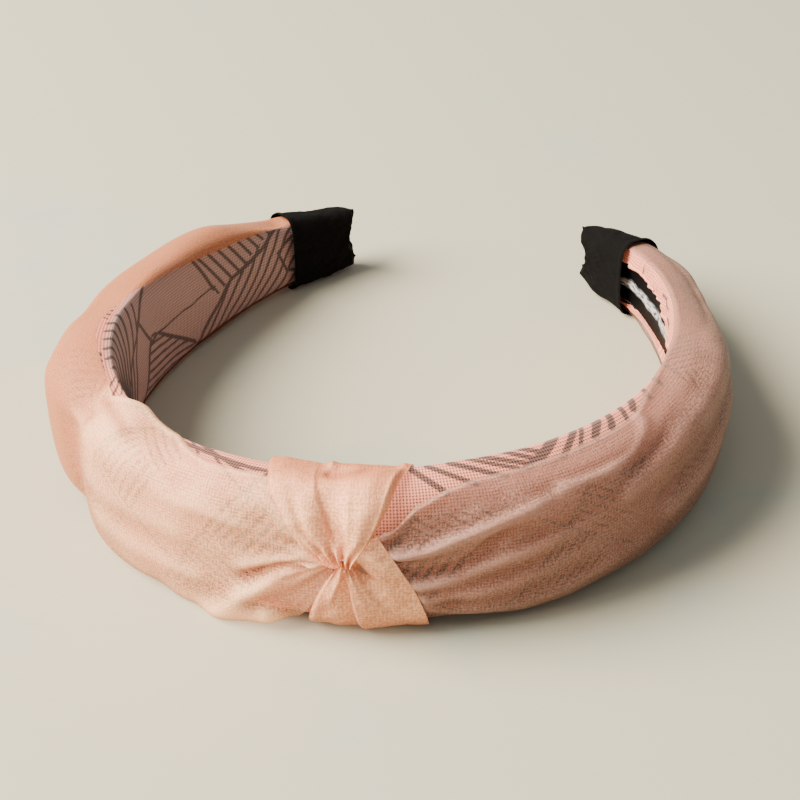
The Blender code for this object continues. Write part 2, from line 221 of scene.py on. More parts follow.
class Skin:
    """Points of the band's surface at stations s and section places w, given as grids of one shape."""

    def __init__(self, s, w):
        grids = np.broadcast_arrays(np.asarray(s, float), np.asarray(w, float))
        self.s, self.w = (grid.copy() for grid in grids)
        half, floor, _, _ = band(self.s)
        self.middle = floor + half
        size = np.abs(self.w)
        sign = np.where(self.w < 0, -1.0, 1.0)
        front = size <= 0.5
        share = np.where(front, size, 1.0 - size) * 2.0
        self.outer_length = np.interp(self.s, TABLE_S, LENGTHS[0])
        self.inner_length = np.interp(self.s, TABLE_S, LENGTHS[1])
        shape = np.where(front[..., None], self.look_up(0, share), self.look_up(1, share))
        facing = np.where(front, 1.0, -1.0)
        self.out = facing * shape[..., 0]
        self.rise = sign * shape[..., 1]
        self.normal_out = facing * shape[..., 2]
        self.normal_up = sign * shape[..., 3]
        whole = self.outer_length + self.inner_length
        self.along = sign * np.where(front, share * self.outer_length, whole - share * self.inner_length)
        self.pattern = np.where(front, whole - self.along, sign * share * self.inner_length)

    def look_up(self, which, share):
        row = np.clip(self.s - TABLE_S[0], 0.0, len(TABLE_S) - 1.001)
        column = np.clip(share * (SAMPLES - 1), 0.0, SAMPLES - 1.001)
        i, j = row.astype(int), column.astype(int)
        a, b = (row - i)[..., None], (column - j)[..., None]
        table = SHAPES[which]
        low = table[i, j] * (1.0 - b) + table[i, j + 1] * b
        high = table[i + 1, j] * (1.0 - b) + table[i + 1, j + 1] * b
        return low * (1.0 - a) + high * a

    def points(self, lift, slide=0.0):
        """The grid's points, lifted off the surface by lift and moved along the band by slide."""
        out = self.out + self.normal_out * lift
        up = self.middle + self.rise + self.normal_up * lift
        x, y, nx, ny = line_at(self.s + slide)
        return np.stack([x + nx * out, y + ny * out, np.maximum(up, FLOOR_CLEARANCE)], axis=-1)


Fold = namedtuple("Fold", "path height widths left right fade", defaults=(None, None, 0.6))


def fold(skin, ridge):
    """A ridge along a path of (s, along) points, fading at its far end; a valley if its height is negative.

    left and right set the width of that side of the path where the cloth is folded sharply."""
    path = np.asarray(ridge.path, float)
    best = np.full(skin.s.shape, 1e9)
    where = np.zeros(skin.s.shape)
    on_right = np.zeros(skin.s.shape, bool)
    count = len(path) - 1
    for k in range(count):
        a, d = path[k], path[k + 1] - path[k]
        ds, dv = skin.s - a[0], skin.along - a[1]
        t = np.clip((ds * d[0] + dv * d[1]) / (d @ d), 0.0, 1.0)
        gap = np.hypot(ds - t * d[0], dv - t * d[1])
        nearer = gap < best
        on_right = np.where(nearer, d[0] * dv - d[1] * ds < 0.0, on_right)
        where = np.where(nearer, (k + t) / count, where)
        best = np.where(nearer, gap, best)
    width = ridge.widths[0] + (ridge.widths[1] - ridge.widths[0]) * where
    if ridge.left is not None:
        width = np.where(on_right, width, ridge.left * (1.0 + where))
    if ridge.right is not None:
        width = np.where(on_right, ridge.right * (1.0 + where), width)
    fading = 1.0 - smooth((where - ridge.fade) / (1.001 - ridge.fade))
    return ridge.height * fading * np.exp(-((best / width) ** 2))


def folds(skin, ridges):
    return sum(fold(skin, ridge) for ridge in ridges)


def mound(x, middle, width):
    return np.exp(-(((x - middle) / width) ** 2))


def bump_at(skin, s, along, height, reach, lean=0.0):
    """A round swelling or hollow; reach is its size along and across, lean turns it in degrees."""
    turn = math.radians(lean)
    ds, dv = skin.s - s, skin.along - along
    a = ds * math.cos(turn) + dv * math.sin(turn)
    b = dv * math.cos(turn) - ds * math.sin(turn)
    return height * np.exp(-((a / reach[0]) ** 2) - (b / reach[1]) ** 2)


def wave_noise(a, b, seed, wavelength, layers=4):
    """Smooth deterministic unevenness of about unit size over two coordinates."""
    rng = np.random.default_rng(seed)
    total = np.zeros(np.shape(a))
    for layer in range(layers):
        for _ in range(5):
            angle = rng.uniform(0.0, TURN)
            phase = rng.uniform(0.0, TURN)
            size = wavelength / 1.9**layer * rng.uniform(0.75, 1.3)
            turn = TURN / size
            total += np.sin(turn * (a * math.cos(angle) + b * math.sin(angle)) + phase) / 1.8**layer
    return total / 4.0


# ---- materials


class Graph:
    """Short names for building one material's nodes."""

    def __init__(self, name):
        self.material = bpy.data.materials.new(name)
        self.material.use_nodes = True
        self.tree = self.material.node_tree
        self.shader = self.tree.nodes["Principled BSDF"]

    def plug(self, socket, value):
        if isinstance(value, bpy.types.NodeSocket):
            self.tree.links.new(value, socket)
        else:
            socket.default_value = value

    def add(self, kind, **settings):
        node = self.tree.nodes.new(kind)
        for key, value in settings.items():
            setattr(node, key, value)
        return node

    def feed(self, node, *values):
        for socket, value in zip(node.inputs, values):
            self.plug(socket, value)
        return node.outputs[0]

    def math(self, operation, a, b=0.0, c=0.0, clamp=False):
        node = self.add("ShaderNodeMath", operation=operation, use_clamp=clamp)
        return self.feed(node, a, b, c)

    def fill(self, node, **values):
        for key, value in values.items():
            self.plug(node.inputs[key.replace("_", " ")], value)

    def times(self, a, b):
        return self.math("MULTIPLY", a, b)

    def scaled(self, a, factor, plus, clamp=False):
        return self.math("MULTIPLY_ADD", a, factor, plus, clamp)

    def most(self, first, *others):
        for value in others:
            first = self.math("MAXIMUM", first, value)
        return first

    def within(self, value, low, high):
        return self.times(self.math("GREATER_THAN", value, low), self.math("LESS_THAN", value, high))

    def wave(self, value, pitch):
        return self.math("SINE", self.times(value, TURN / pitch))

    def vector(self, operation, a, b=None, scale=None):
        node = self.add("ShaderNodeVectorMath", operation=operation)
        self.plug(node.inputs[0], a)
        if b is not None:
            self.plug(node.inputs[1], b)
        if scale is not None:
            self.plug(node.inputs["Scale"], scale)
        return node.outputs["Value" if operation in ("DOT_PRODUCT", "DISTANCE", "LENGTH") else "Vector"]

    def noise(self, vector, scale, detail=2.0, roughness=0.5):
        node = self.add("ShaderNodeTexNoise")
        self.fill(node, Vector=vector, Scale=scale, Detail=detail, Roughness=roughness)
        return node.outputs["Fac"]

    def mix(self, share, a, b):
        node = self.add("ShaderNodeMix", data_type="RGBA")
        a, b = (tone if isinstance(tone, bpy.types.NodeSocket) else (*tone, 1.0) for tone in (a, b))
        self.fill(node, Factor=share, A=a, B=b)
        return node.outputs["Result"]

    def remap(self, value, low, high):
        """0 at low, 1 at high, smooth between."""
        return self.feed(self.add("ShaderNodeMapRange", interpolation_type="SMOOTHSTEP"), value, low, high)

    def bump(self, height, strength, distance):
        node = self.add("ShaderNodeBump")
        self.fill(node, Strength=strength, Distance=distance, Height=height)
        self.plug(self.shader.inputs["Normal"], node.outputs["Normal"])

    def split(self, vector):
        node = self.add("ShaderNodeSeparateXYZ")
        self.plug(node.inputs[0], vector)
        return node.outputs[0], node.outputs[1]

    def cloth(self):
        """The cloth's own coordinates in millimetres: the place, along the band, and round it."""
        node = self.add("ShaderNodeUVMap", uv_map="cloth")
        place = self.vector("SCALE", node.outputs["UV"], scale=100.0)
        return place, *self.split(place)

    def join(self, x, y):
        return self.feed(self.add("ShaderNodeCombineXYZ"), x, y)

    def look(self, **values):
        self.fill(self.shader, **values)
        return self.material


# The print's colours. The two left-arm pinks are painted shade: darker, greyer copies of the print's pinks
# for the inner face of the left arm, which lies in shade.
PRINT_PINK = (0.84, 0.27, 0.16)
PRINT_PINK_SHADED_LEFT = (0.43, 0.27, 0.23)
PRINT_PINK_DEEP = (0.27, 0.08, 0.045)
PRINT_PINK_DEEP_SHADED_LEFT = (0.2, 0.09, 0.065)
PRINT_BROWN = (0.024, 0.011, 0.006)

# The print's drawn lines: s and round at one end, then at the other, and half width. Round is 0 along the
# middle of the inner face.
DRAWN_LINES = (
    (-176, 12, -164, 5, 0.45), (-164, 5, -151.5, 1, 0.5),
    (-151.5, 1, -139.5, -10, 0.5), (-139.5, -10, -136, -17, 0.5),
    (-145, 1.5, -118, 0, 0.2), (-118, 0, -114.5, -1, 0.45),
    (-119, 0, -136, -11, 0.4), (-117.5, 17, -109, 10, 0.5),
    (-109, 10, -100.5, 2, 0.55), (-100.5, 2, -94, -8, 0.5),
    (-107, 9, -114.5, 0, 0.35), (-114.5, 0, -107, -17, 0.5),
    (-137.5, 12, -144.5, 1, 0.4), (-101, -14, -107, 14, 0.4),
    (-99.5, -12.5, -103, 15, 0.45), (-98, -11, -98.5, 17, 0.5),
    (-97, -9.5, -94.5, 18, 0.45), (-96, -8, -90.5, 18, 0.5),
    (-95, -6.5, -86.5, 18, 0.45), (-94, -5, -82, 18, 0.5),
    (-92.5, -3, -77.5, 18, 0.45), (-91, -1, -73.5, 17, 0.45),
    (-177, 6, -170, 2, 0.35), (-170, 2, -173, -4, 0.35),
    (-173, -4, -178, -5, 0.35), (15.2, 17.6, 21.5, 24.9, 0.62),
    (19, 17.6, 28, 24, 0.5), (23.5, 17.4, 34.5, 23.2, 0.55),
    (27.5, 17, 38, 22, 0.4), (30.5, 17, 41, 21.6, 0.5),
    (35.5, 16.6, 43, 21, 0.5), (39, 16.6, 44.5, 19.4, 0.5),
    (39.5, 22, 49.5, 16.2, 0.85), (42, 21.4, 46.5, 18, 0.45),
    (47.2, 21.4, 54.6, 16.8, 0.6), (52, 21.4, 57, 16.5, 0.4),
    (57, 20.6, 61.4, 16.4, 0.75), (61.8, 20, 65, 16.2, 0.6),
    (66.5, 20, 69.5, 16, 0.5), (70.3, 19, 74, 15.8, 0.6),
    (76.5, 19, 79.5, 15.6, 0.5), (83, 19, 86, 15.4, 0.5),
    (128, 6, 136, 10.5, 0.3), (136, 10.5, 142, 8.5, 0.3),
    (149, 5, 153, 12, 0.3), (160, 6, 158, 11, 0.25),
    (-38, 18.5, -14, 20.5, 0.5), (-34, 16.5, -12, 24, 0.4),
)

# Stripe fields as (direction in degrees, spacing, half width, half planes as (angle in degrees, distance)).
STRIPE_FIELDS = (
    (51.0, 2.9, 0.34, ((147.5, 122.5), (65.8, -61.05))),
    (128.0, 2.9, 0.34, ((245.8, 61.05), (227.5, 101.7))),
    (4.0, 2.2, 0.26, ((302.9, -64.6), (203.8, 104.8))),
)


def heading(degrees):
    angle = math.radians(degrees)
    return math.cos(angle), math.sin(angle), 0.0


def drawn_lines(g, place):
    """1 on the print's drawn lines."""
    nearest = None
    for u1, v1, u2, v2, half in DRAWN_LINES:
        du, dv = u2 - u1, v2 - v1
        square = du**2 + dv**2
        away = g.vector("SUBTRACT", place, (u1, v1, 0.0))
        share = g.vector("DOT_PRODUCT", away, (du / square, dv / square, 0.0))
        share = g.math("MULTIPLY", share, 1.0, clamp=True)
        foot = g.vector("SCALE", (du, dv, 0.0), scale=share)
        gap = g.math("SUBTRACT", g.vector("DISTANCE", away, foot), half)
        nearest = gap if nearest is None else g.math("MINIMUM", nearest, gap)
    return g.remap(nearest, 0.25, 0.0)


def stripe_field(g, place, degrees, spacing, half, planes):
    """1 on even stripes, cut off by half planes and by the edges of the inner face."""
    across = g.vector("DOT_PRODUCT", place, heading(degrees + 90.0))
    stripe = g.remap(g.math("PINGPONG", across, 0.5 * spacing), half + 0.25, half)
    for angle, distance in planes:
        side = g.vector("DOT_PRODUCT", place, heading(angle))
        stripe = g.times(stripe, g.math("GREATER_THAN", side, distance))
    return g.times(stripe, g.math("LESS_THAN", g.math("ABSOLUTE", g.split(place)[1]), 19.5))


def lozenges(g, u, v):
    """1 on leaning lozenges, some of them filled with stripes."""
    size_a, size_b = 17.0, 23.0
    lean_a = g.scaled(v, 0.62, u)
    lean_b = g.scaled(v, -1.35, u)
    moved_b = g.math("ADD", lean_b, 7.0)
    edge_a = g.remap(g.math("PINGPONG", lean_a, size_a), 0.8, 0.45)
    edge_b = g.remap(g.math("PINGPONG", moved_b, size_b), 0.75, 0.4)
    tile_a = g.math("FLOOR", g.math("DIVIDE", lean_a, size_a))
    tile_b = g.math("FLOOR", g.math("DIVIDE", moved_b, size_b))
    kind = g.math("PINGPONG", g.scaled(tile_b, 2.0, tile_a), 2.0)
    stripes_a = g.remap(g.math("PINGPONG", lean_a, 1.25), 0.75, 0.45)
    stripes_b = g.remap(g.math("PINGPONG", lean_b, 1.6), 0.7, 0.4)
    filled_a = g.times(stripes_a, g.math("GREATER_THAN", kind, 1.5))
    filled_b = g.times(stripes_b, g.math("LESS_THAN", kind, 0.5))
    return g.most(edge_a, edge_b, filled_a, filled_b)


def print_mask(g):
    """1 where the sleeve is printed brown."""
    place, u, v = g.cloth()
    wobble = g.scaled(g.noise(place, 0.06, 1.0), 2.4, -1.2)
    moved = g.join(g.math("ADD", u, wobble), g.math("ADD", v, wobble))
    snapped = g.vector("SNAP", moved, (PRINT_CELL, PRINT_CELL, PRINT_CELL))
    fields = [stripe_field(g, snapped, *field) for field in STRIPE_FIELDS]
    inner_left = g.times(g.math("LESS_THAN", u, -70.0), g.math("LESS_THAN", v, 19.0))
    inner_right = g.times(g.math("GREATER_THAN", u, 100.0), g.math("LESS_THAN", v, 16.0))
    crescent = g.times(g.within(u, 8.0, 88.0), g.within(v, 12.0, 30.0))
    elsewhere = g.math("SUBTRACT", 1.0, g.most(inner_left, inner_right, crescent))
    repeat = g.times(lozenges(g, *g.split(snapped)), elsewhere)
    return g.most(drawn_lines(g, snapped), *fields, repeat)


def print_material():
    g = Graph("printed_mesh_cloth")
    brown = print_mask(g)
    place, u, v = g.cloth()
    warp = g.wave(g.scaled(v, 0.8, u), 2.0 * MESH_PITCH)
    weft = g.wave(g.scaled(v, -0.8, u), 2.0 * MESH_PITCH)
    hole = g.remap(g.times(warp, weft), -0.3, 0.75)
    fuzz = g.noise(place, 1.7, 3.0)
    share = g.scaled(fuzz, 0.3, g.scaled(hole, 0.9, -0.15), clamp=True)
    # Painted shade: the inner face of the left arm takes the darker, greyer pinks.
    left = g.times(g.remap(u, -58.0, -84.0), g.remap(v, 19.5, 16.0))
    light = g.mix(left, PRINT_PINK, PRINT_PINK_SHADED_LEFT)
    pink = g.mix(share, light, g.mix(left, PRINT_PINK_DEEP, PRINT_PINK_DEEP_SHADED_LEFT))
    worn = g.times(brown, g.scaled(hole, 0.2, 0.8))
    g.bump(g.math("ADD", g.times(hole, -1.0), g.times(fuzz, 0.4)), 0.6, 0.00025)
    return g.look(Base_Color=g.mix(worn, pink, PRINT_BROWN), Roughness=0.85, Sheen_Weight=0.1)


def organza_weave(g, u, v, crest):
    """Crossing threads of uneven brightness, about 0 to 1, calmer on the crests of folds."""
    along = g.noise(g.join(g.times(u, 0.4), v), 3.2, 1.0)
    across = g.noise(g.join(u, g.times(v, 0.4)), 2.6, 1.0)
    weft = g.times(g.wave(v, WEFT_PITCH), 0.14)
    warp = g.times(g.wave(u, WARP_PITCH), 0.12)
    threads = g.math("ADD", g.times(weft, across), g.times(warp, along))
    weave = g.remap(g.math("ADD", threads, g.math("ADD", along, across)), 0.8, 1.2)
    return g.scaled(g.math("SUBTRACT", weave, 0.5), g.scaled(crest, -0.6, 1.0), 0.5)


def organza_material(name, light_tone, tone, deep_tone, cover, through):
    """Sheer organza, with painted highlights on fold crests and glints, and painted shade in hollows and on
    the top of the knot's upper fan. cover is how much it hides face on, through how much of that stops
    light.
    """
    g = Graph(name)
    place, u, v = g.cloth()
    crest = g.add("ShaderNodeAttribute", attribute_name="crest").outputs["Fac"]
    weave = organza_weave(g, u, v, crest)
    glint = g.remap(g.noise(place, 4.2, 0.0), 0.58, 0.7)
    cloud = g.remap(g.noise(place, 0.045, 2.0), 0.3, 0.7)
    facing = g.add("ShaderNodeLayerWeight")
    facing.inputs["Blend"].default_value = 0.5
    graze = g.math("POWER", facing.outputs["Facing"], 1.5)
    # The far left arm is deeper in tone. Where the knot's upper fan turns over the crown, painted shade
    # gives the same deeper tone and less brightness.
    far = g.remap(u, -60.0, -72.0)
    after_start = g.remap(u, UPPER_FAN_AT - 30.0, UPPER_FAN_AT - 20.0)
    before_end = g.remap(u, UPPER_FAN_AT + 40.0, UPPER_FAN_AT + 30.0)
    fan_top_shade = g.times(g.times(after_start, before_end), g.remap(v, 13.0, 20.5))
    # Painted shade in the hollows of folds, where crest is below 0; the tone also deepens where the cloth is
    # seen edge on.
    depth = g.scaled(crest, -0.6, g.scaled(graze, 0.95, 0.16))
    depth = g.scaled(fan_top_shade, 0.4, g.scaled(far, 0.85, depth))
    depth = g.scaled(cloud, 0.22, depth, clamp=True)
    tint = g.mix(depth, tone, deep_tone)
    # Painted highlight on the crests of folds, added to the brightness of the threads.
    bright = g.scaled(weave, 0.5, g.times(crest, 0.16))
    bright = g.times(bright, g.scaled(g.most(graze, depth), -0.8, 1.0))
    # Painted glints: specks of glitter brightened in the colour as if catching the light.
    bright = g.scaled(glint, 0.5, bright, clamp=True)
    # Less brightness on the far left arm, and painted shade on the top of the knot's upper fan.
    bright = g.times(bright, g.scaled(g.math("ADD", far, fan_top_shade), -0.7, 1.0))
    alpha = g.scaled(crest, 0.16, g.scaled(graze, 0.9 * (1.0 - cover), cover))
    alpha = g.scaled(far, 0.26, alpha)
    alpha = g.scaled(g.math("SUBTRACT", weave, 0.5), 0.22, alpha, clamp=True)
    shadow = g.add("ShaderNodeLightPath").outputs["Is Shadow Ray"]
    g.bump(g.scaled(glint, 0.5, weave), 0.3, 0.0002)
    return g.look(
        Base_Color=g.mix(bright, tint, light_tone),
        Roughness=g.scaled(glint, -0.25, 0.6),
        Alpha=g.times(alpha, g.scaled(shadow, through - 1.0, 1.0)),
        Specular_IOR_Level=0.25,
        Sheen_Weight=0.08,
        Sheen_Roughness=0.4,
        Sheen_Tint=(1.0, 0.72, 0.52, 1.0),
    )


def tape_material():
    g = Graph("black_tape")
    place, u, v = g.cloth()
    fuzz = g.noise(place, 2.0, 3.0)
    g.bump(g.scaled(g.times(g.wave(v, 0.55), g.wave(u, 0.5)), 0.5, fuzz), 0.6, 0.0003)
    colour = g.mix(fuzz, (0.0015, 0.0013, 0.001), (0.005, 0.004, 0.0035))
    return g.look(Base_Color=colour, Roughness=0.95, Specular_IOR_Level=0.08)


def satin_material():
    """Black satin with a painted highlight: one bright grey streak along its ridge."""
    g = Graph("black_satin")
    place, u, v = g.cloth()
    streak = g.noise(g.join(g.times(u, 0.15), v), 2.5, 2.0)
    g.bump(streak, 0.25, 0.0002)
    off_ridge = g.math("ABSOLUTE", g.scaled(g.noise(place, 0.2, 1.0), 2.0, v))
    # Painted highlight: the grey streak stands for light reflected along the ribbon's ridge.
    ridge = g.times(g.remap(off_ridge, 1.5, 0.3), g.remap(streak, 0.3, 0.6))
    colour = g.mix(ridge, (0.003, 0.0025, 0.0025), (0.42, 0.4, 0.39))
    return g.look(Base_Color=colour, Roughness=0.5, Specular_IOR_Level=0.02)


def plain_material(name, colour, roughness, scale):
    g = Graph(name)
    place = g.add("ShaderNodeTexCoord").outputs["Object"]
    speckle = g.noise(place, scale, 3.0)
    g.bump(speckle, 0.4, 0.0003)
    darker = tuple(c * 0.8 for c in colour)
    return g.look(Base_Color=g.mix(speckle, colour, darker), Roughness=roughness)


# ---- meshes


def evened(values, times):
    """A grid of values with its small unevenness smoothed away."""
    for _ in range(times):
        padded = np.pad(values, 1, mode="edge")
        sides = padded[:-2, 1:-1] + padded[2:, 1:-1] + padded[1:-1, :-2] + padded[1:-1, 2:]
        values = 0.2 * (values + sides)
    return values


def crest_of(lift):
    """How far each point of a grid stands out from its surroundings, about -1 to 1."""
    return np.clip((lift - evened(lift, 40)) / 0.7, -1.0, 1.0)


def grid_quads(rows, columns):
    """The numbers of a grid's points, and its faces."""
    index = np.arange(rows * columns).reshape(rows, columns)
    corners = (index[:-1, :-1], index[:-1, 1:], index[1:, 1:], index[1:, :-1])
    return index, np.stack(corners, axis=-1).reshape(-1, 4)


def linked(name, data):
    """A new object in the scene."""
    obj = bpy.data.objects.new(name, data)
    bpy.context.scene.collection.objects.link(obj)
    return obj


def sheet(name, points, uv, material, crest=None):
    """A cloth surface through a grid of points, its coordinates kept as a UV map, all 0 if uv is None."""
    quads = grid_quads(*points.shape[:2])[1]
    if uv is None:
        uv = np.zeros(points.shape[:2] + (2,))
    mesh = bpy.data.meshes.new(name)
    mesh.from_pydata((points.reshape(-1, 3) * MM).tolist(), [], quads.tolist())
    layer = mesh.uv_layers.new(name="cloth")
    flat = uv.reshape(-1, 2) * 0.01
    layer.data.foreach_set("uv", flat[quads.reshape(-1)].astype(np.float32).ravel())
    mesh.shade_smooth()
    mesh.materials.append(material)
    obj = linked(name, mesh)
    if crest is not None:
        attribute = mesh.attributes.new("crest", "FLOAT", "POINT")
        attribute.data.foreach_set("value", crest.astype(np.float32).ravel())
    return obj


def place_at(s, out, up):
    x, y, nx, ny = line_at(np.asarray(s, float))
    return np.stack([x + nx * out, y + ny * out, np.broadcast_to(up, np.shape(x))], axis=-1)


def bend_with(obj, node):
    """The piece shows a CAD node, which is hidden; the piece's placement is baked into its mesh."""
    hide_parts(node)
    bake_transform(obj)


def ride_on(body, obj, node):
    """The piece shows a CAD node and moves with one body."""
    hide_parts(node)
    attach(obj, body)


# ---- hidden layers


def make_hidden_layers(side):
    """Core and foam, which only fill the sleeve."""
    tip, name = end_of(side)
    s = np.linspace(0.0, tip - side * CORE_END, 70)
    half, floor, _, _ = band(s)
    edge = half - 2.6
    rim = [(0.9, -1.0), (0.9, 1.0), (-0.9, 1.0), (-0.9, -1.0), (0.9, -1.0)]
    core = np.stack([place_at(s, out, floor + half + level * edge) for out, level in rim], axis=1)
    bend_with(sheet("core_" + name, core, None, CORE), "core_band")
    s = np.linspace(0.0, tip - side * HIDDEN_END, 70)
    half, floor, bulge, _ = band(s)
    middle, edge = floor + half, half - 2.0
    rows = [place_at(s, 1.2, middle - edge)]
    for t in np.linspace(-math.pi / 2.0, math.pi / 2.0, 13):
        reach = np.maximum(1.2, (bulge - 4.2) * abs(math.cos(t)) ** 0.6)
        rows.append(place_at(s, reach, middle + edge * math.copysign(abs(math.sin(t)) ** 0.6, t)))
    rows.append(place_at(s, 1.2, middle + edge))
    foam = np.stack(rows, axis=1)
    bend_with(sheet("foam_" + name, foam, None, FOAM), "foam_pad")


def make_lining(side):
    tip, name = end_of(side)
    s = np.linspace(0.0, tip - side * HIDDEN_END, 320)[:, None]
    level = np.linspace(-1.0, 1.0, 25)
    half, floor, _, _ = band(s)
    grid_s, grid_l = np.broadcast_arrays(s, level)
    wrinkle = 0.2 * wave_noise(grid_s * 0.7, grid_l * 9.0, 31, 9.0) + 0.55 * mound(grid_l, -0.25, 0.16)
    out = -1.6 - wrinkle * (1.0 - grid_l**2) * smooth((grid_s - SLIT_START) / 12.0)
    rise = grid_l * (half - 2.6) * 0.86
    points = place_at(grid_s, out, floor + half + rise)
    uv = np.stack([grid_s, rise], axis=-1)
    bend_with(sheet("lining_" + name, points, uv, SATIN), "satin_lining")


# ---- printed sleeve


def slit_edges(s):
    """The slit's upper and lower edges on the right arm, as distances round from the inner face's middle."""
    grow = np.clip((s - SLIT_START) / 30.0, 0.0, 1.0) ** 0.75
    return 0.02 + 4.9 * grow, 0.02 + 7.4 * grow


# Where the pad is fuller or thinner than its plain section: how much, then where and how far along the band,
# and where and how far round the section. The hollows lie across the whole outer face.
PAD_CHANGES = (
    (2.1, 46.0, 36.0, 0.54, 0.1),
    (1.0, -82.0, 7.0, 0.2, 0.25),
    (-1.9, -104.0, 9.0, 0.36, 0.16),
    (2.4, -150.0, 13.0, 0.4, 0.16),
    (-1.3, -174.0, 8.0, 0.5, 0.14),
    (1.8, -40.0, 15.0, -0.4, 0.18),
)
PAD_HOLLOWS = ((-2.4, 136.0, 24.0), (-1.7, -64.0, 7.0))


def padding(skin):
    """The pad's changes, which lie under sleeve and overlay alike."""
    outer = 1.0 - smooth((np.abs(skin.w) - 0.3) / 0.3)
    lift = sum(much * mound(skin.s, s, length) * outer for much, s, length in PAD_HOLLOWS)
    for much, s, length, w, width in PAD_CHANGES:
        lift += much * mound(skin.s, s, length) * mound(skin.w, w, width)
    return lift


def sleeve_lift(skin):
    """The sleeve lies just under the overlay and is a little uneven."""
    rough = wave_noise(skin.s, skin.pattern, 5, 34.0, 3)
    inner = smooth((np.abs(skin.w) - 0.52) / 0.2)
    return padding(skin) - 0.75 + 0.22 * rough * (0.4 + inner)


def make_sleeve(side):
    tip, name = end_of(side)
    s = np.linspace(0.0, tip - side * HIDDEN_END, 300)[:, None]
    if side < 0:
        w = np.concatenate([np.linspace(-0.5, -1.0, 34), np.linspace(1.0, -0.5, 96)[1:]])
        skin = Skin(s, w)
        lift = sleeve_lift(skin)
        skin.pattern[:, :34] = -np.abs(skin.pattern[:, :34])
    else:
        inner_length = np.interp(s, TABLE_S, LENGTHS[1])
        high, low = slit_edges(s)
        start = 1.0 - 0.5 * high / inner_length
        end = -1.0 + 0.5 * low / inner_length
        step = np.linspace(0.0, 1.0, 150)
        skin = Skin(s, start + (end - start) * step)
        hem = smooth(1.0 - np.minimum(step, 1.0 - step) / 0.03) * smooth((s - SLIT_START + 2.0) / 10.0)
        wrinkle = wave_noise(skin.s * 1.6, skin.pattern, 12, 9.0, 3)
        crumpled = smooth((s - SLIT_START) / 20.0) * smooth(1.2 - np.abs(skin.pattern - 7.0) / 9.0)
        lift = sleeve_lift(skin) + 0.45 * wrinkle * crumpled * smooth((skin.w - 0.5) / 0.1)
        lift += 0.35 * wrinkle * hem - 0.75 * hem**3 + 0.6 * np.sin(np.pi * hem)
        skin.pattern = np.where(skin.w < -0.5, -np.abs(skin.pattern), skin.pattern)
    hidden = under_tape(skin.s)
    lift = lift * (1.0 - hidden) - 0.9 * hidden
    uv = np.stack([skin.s, skin.pattern], axis=-1)
    bend_with(sheet("sleeve_" + name, skin.points(lift), uv, PRINT), "printed_cover")


# ---- sheer overlay


def gathers(skin, seed, size):
    """Fine folds that fan out from the pinch and die away along the arm."""
    ds = np.abs(skin.s - PINCH_S)
    dv = skin.along - PINCH_V
    r = np.hypot(ds, dv)
    angle = np.arctan2(dv, ds)
    rng = np.random.default_rng(seed)
    total = np.zeros(r.shape)
    for count, fade in ((9.0, 34.0), (15.0, 20.0), (23.0, 11.0)):
        phase = rng.uniform(0.0, TURN)
        drift = rng.uniform(-0.012, 0.012)
        total += np.cos(count * (angle + drift * r) + phase) * np.exp(-r / fade)
    return size * total * smooth(r / 6.0)


# Where the panels' upper and lower edges lie, as distances from the pinch and places round the section.
LEFT_TOP = (
    (2.5, 8, 14, 29, 34, 41, 55, 60, 64, 71, 79, 91, 103, 120, 150),
    (0.1, 0.34, 0.41, 0.42, 0.45, 0.52, 0.55, 0.5, 0.455, 0.48, 0.47, 0.455, 0.5, 0.56, 0.6),
)
LEFT_LOW = (
    (2.5, 6, 9, 12, 16, 20, 28, 200),
    (-0.04, -0.2, -0.31, -0.4, -0.47, -0.53, -0.58, -0.6),
)
RIGHT_TOP = (
    (2.5, 7, 9, 13, 19, 25.5, 31.5, 38, 49, 60.5, 66.5, 74, 88, 110, 150),
    (0.1, 0.196, 0.213, 0.309, 0.37, 0.409, 0.422, 0.435, 0.448, 0.448, 0.452, 0.5, 0.55, 0.58, 0.6),
)
RIGHT_LOW = ((2.5, 8, 12, 15.5, 200), (-0.1, -0.3, -0.5, -0.58, -0.6))

# The larger folds of each panel.
LEFT_FOLDS = (
    Fold(((1, 1.9), (-4, 3.3), (-9.2, 1.4), (-14.8, -1.5), (-18.5, -4.8)), 1.2, (0.8, 2.6), 0.6, fade=0.7),
    Fold(((-4, 0.6), (-8, -0.6), (-12, -3.2), (-18, -7.4)), -1.5, (0.7, 2), fade=0.8),
    Fold(
        ((2.5, 2), (-4, 1), (-9.2, -2), (-12.8, -5.8), (-18.2, -11.4), (-23.8, -15.6), (-29, -18)),
        1.9, (1.2, 3.4), right=1.2, fade=0.75,
    ),
    Fold(((-12, -14), (-22, -17), (-30, -18.5), (-38, -17)), 3.2, (3, 5)),
    Fold(((1, 5), (-9, 7.6), (-22, 9.5), (-40, 10)), 0.7, (1.2, 5), 0.9),
    Fold(((-3, 8), (-11, 12.5), (-22, 15.5), (-36, 17)), 0.6, (1.2, 4)),
    Fold(((-62, 20.5), (-50, 19), (-42, 16)), -0.6, (1, 1.6)),
    Fold(((-30, 2), (-48, 4), (-62, 9)), 0.7, (3, 5)),
    Fold(((-26, -8), (-44, -6), (-60, -1)), 0.6, (2, 4)),
    Fold(((-65, -9), (-65.5, 2), (-67, 11)), -1.1, (3, 4), fade=0.8),
)


def left_folds(skin):
    around = np.cos(np.clip(skin.w, -0.5, 0.5) * 1.6)
    lift = folds(skin, LEFT_FOLDS)
    lift += (1.9 * mound(skin.s, -84.0, 13.0) + 1.1 * mound(skin.s, -52.0, 10.0)) * around
    high = mound(skin.s, -134.0, 22.0) * 2.4 + mound(skin.s, -92.0, 14.0)
    return lift + high * mound(skin.w, 0.5, 0.14)


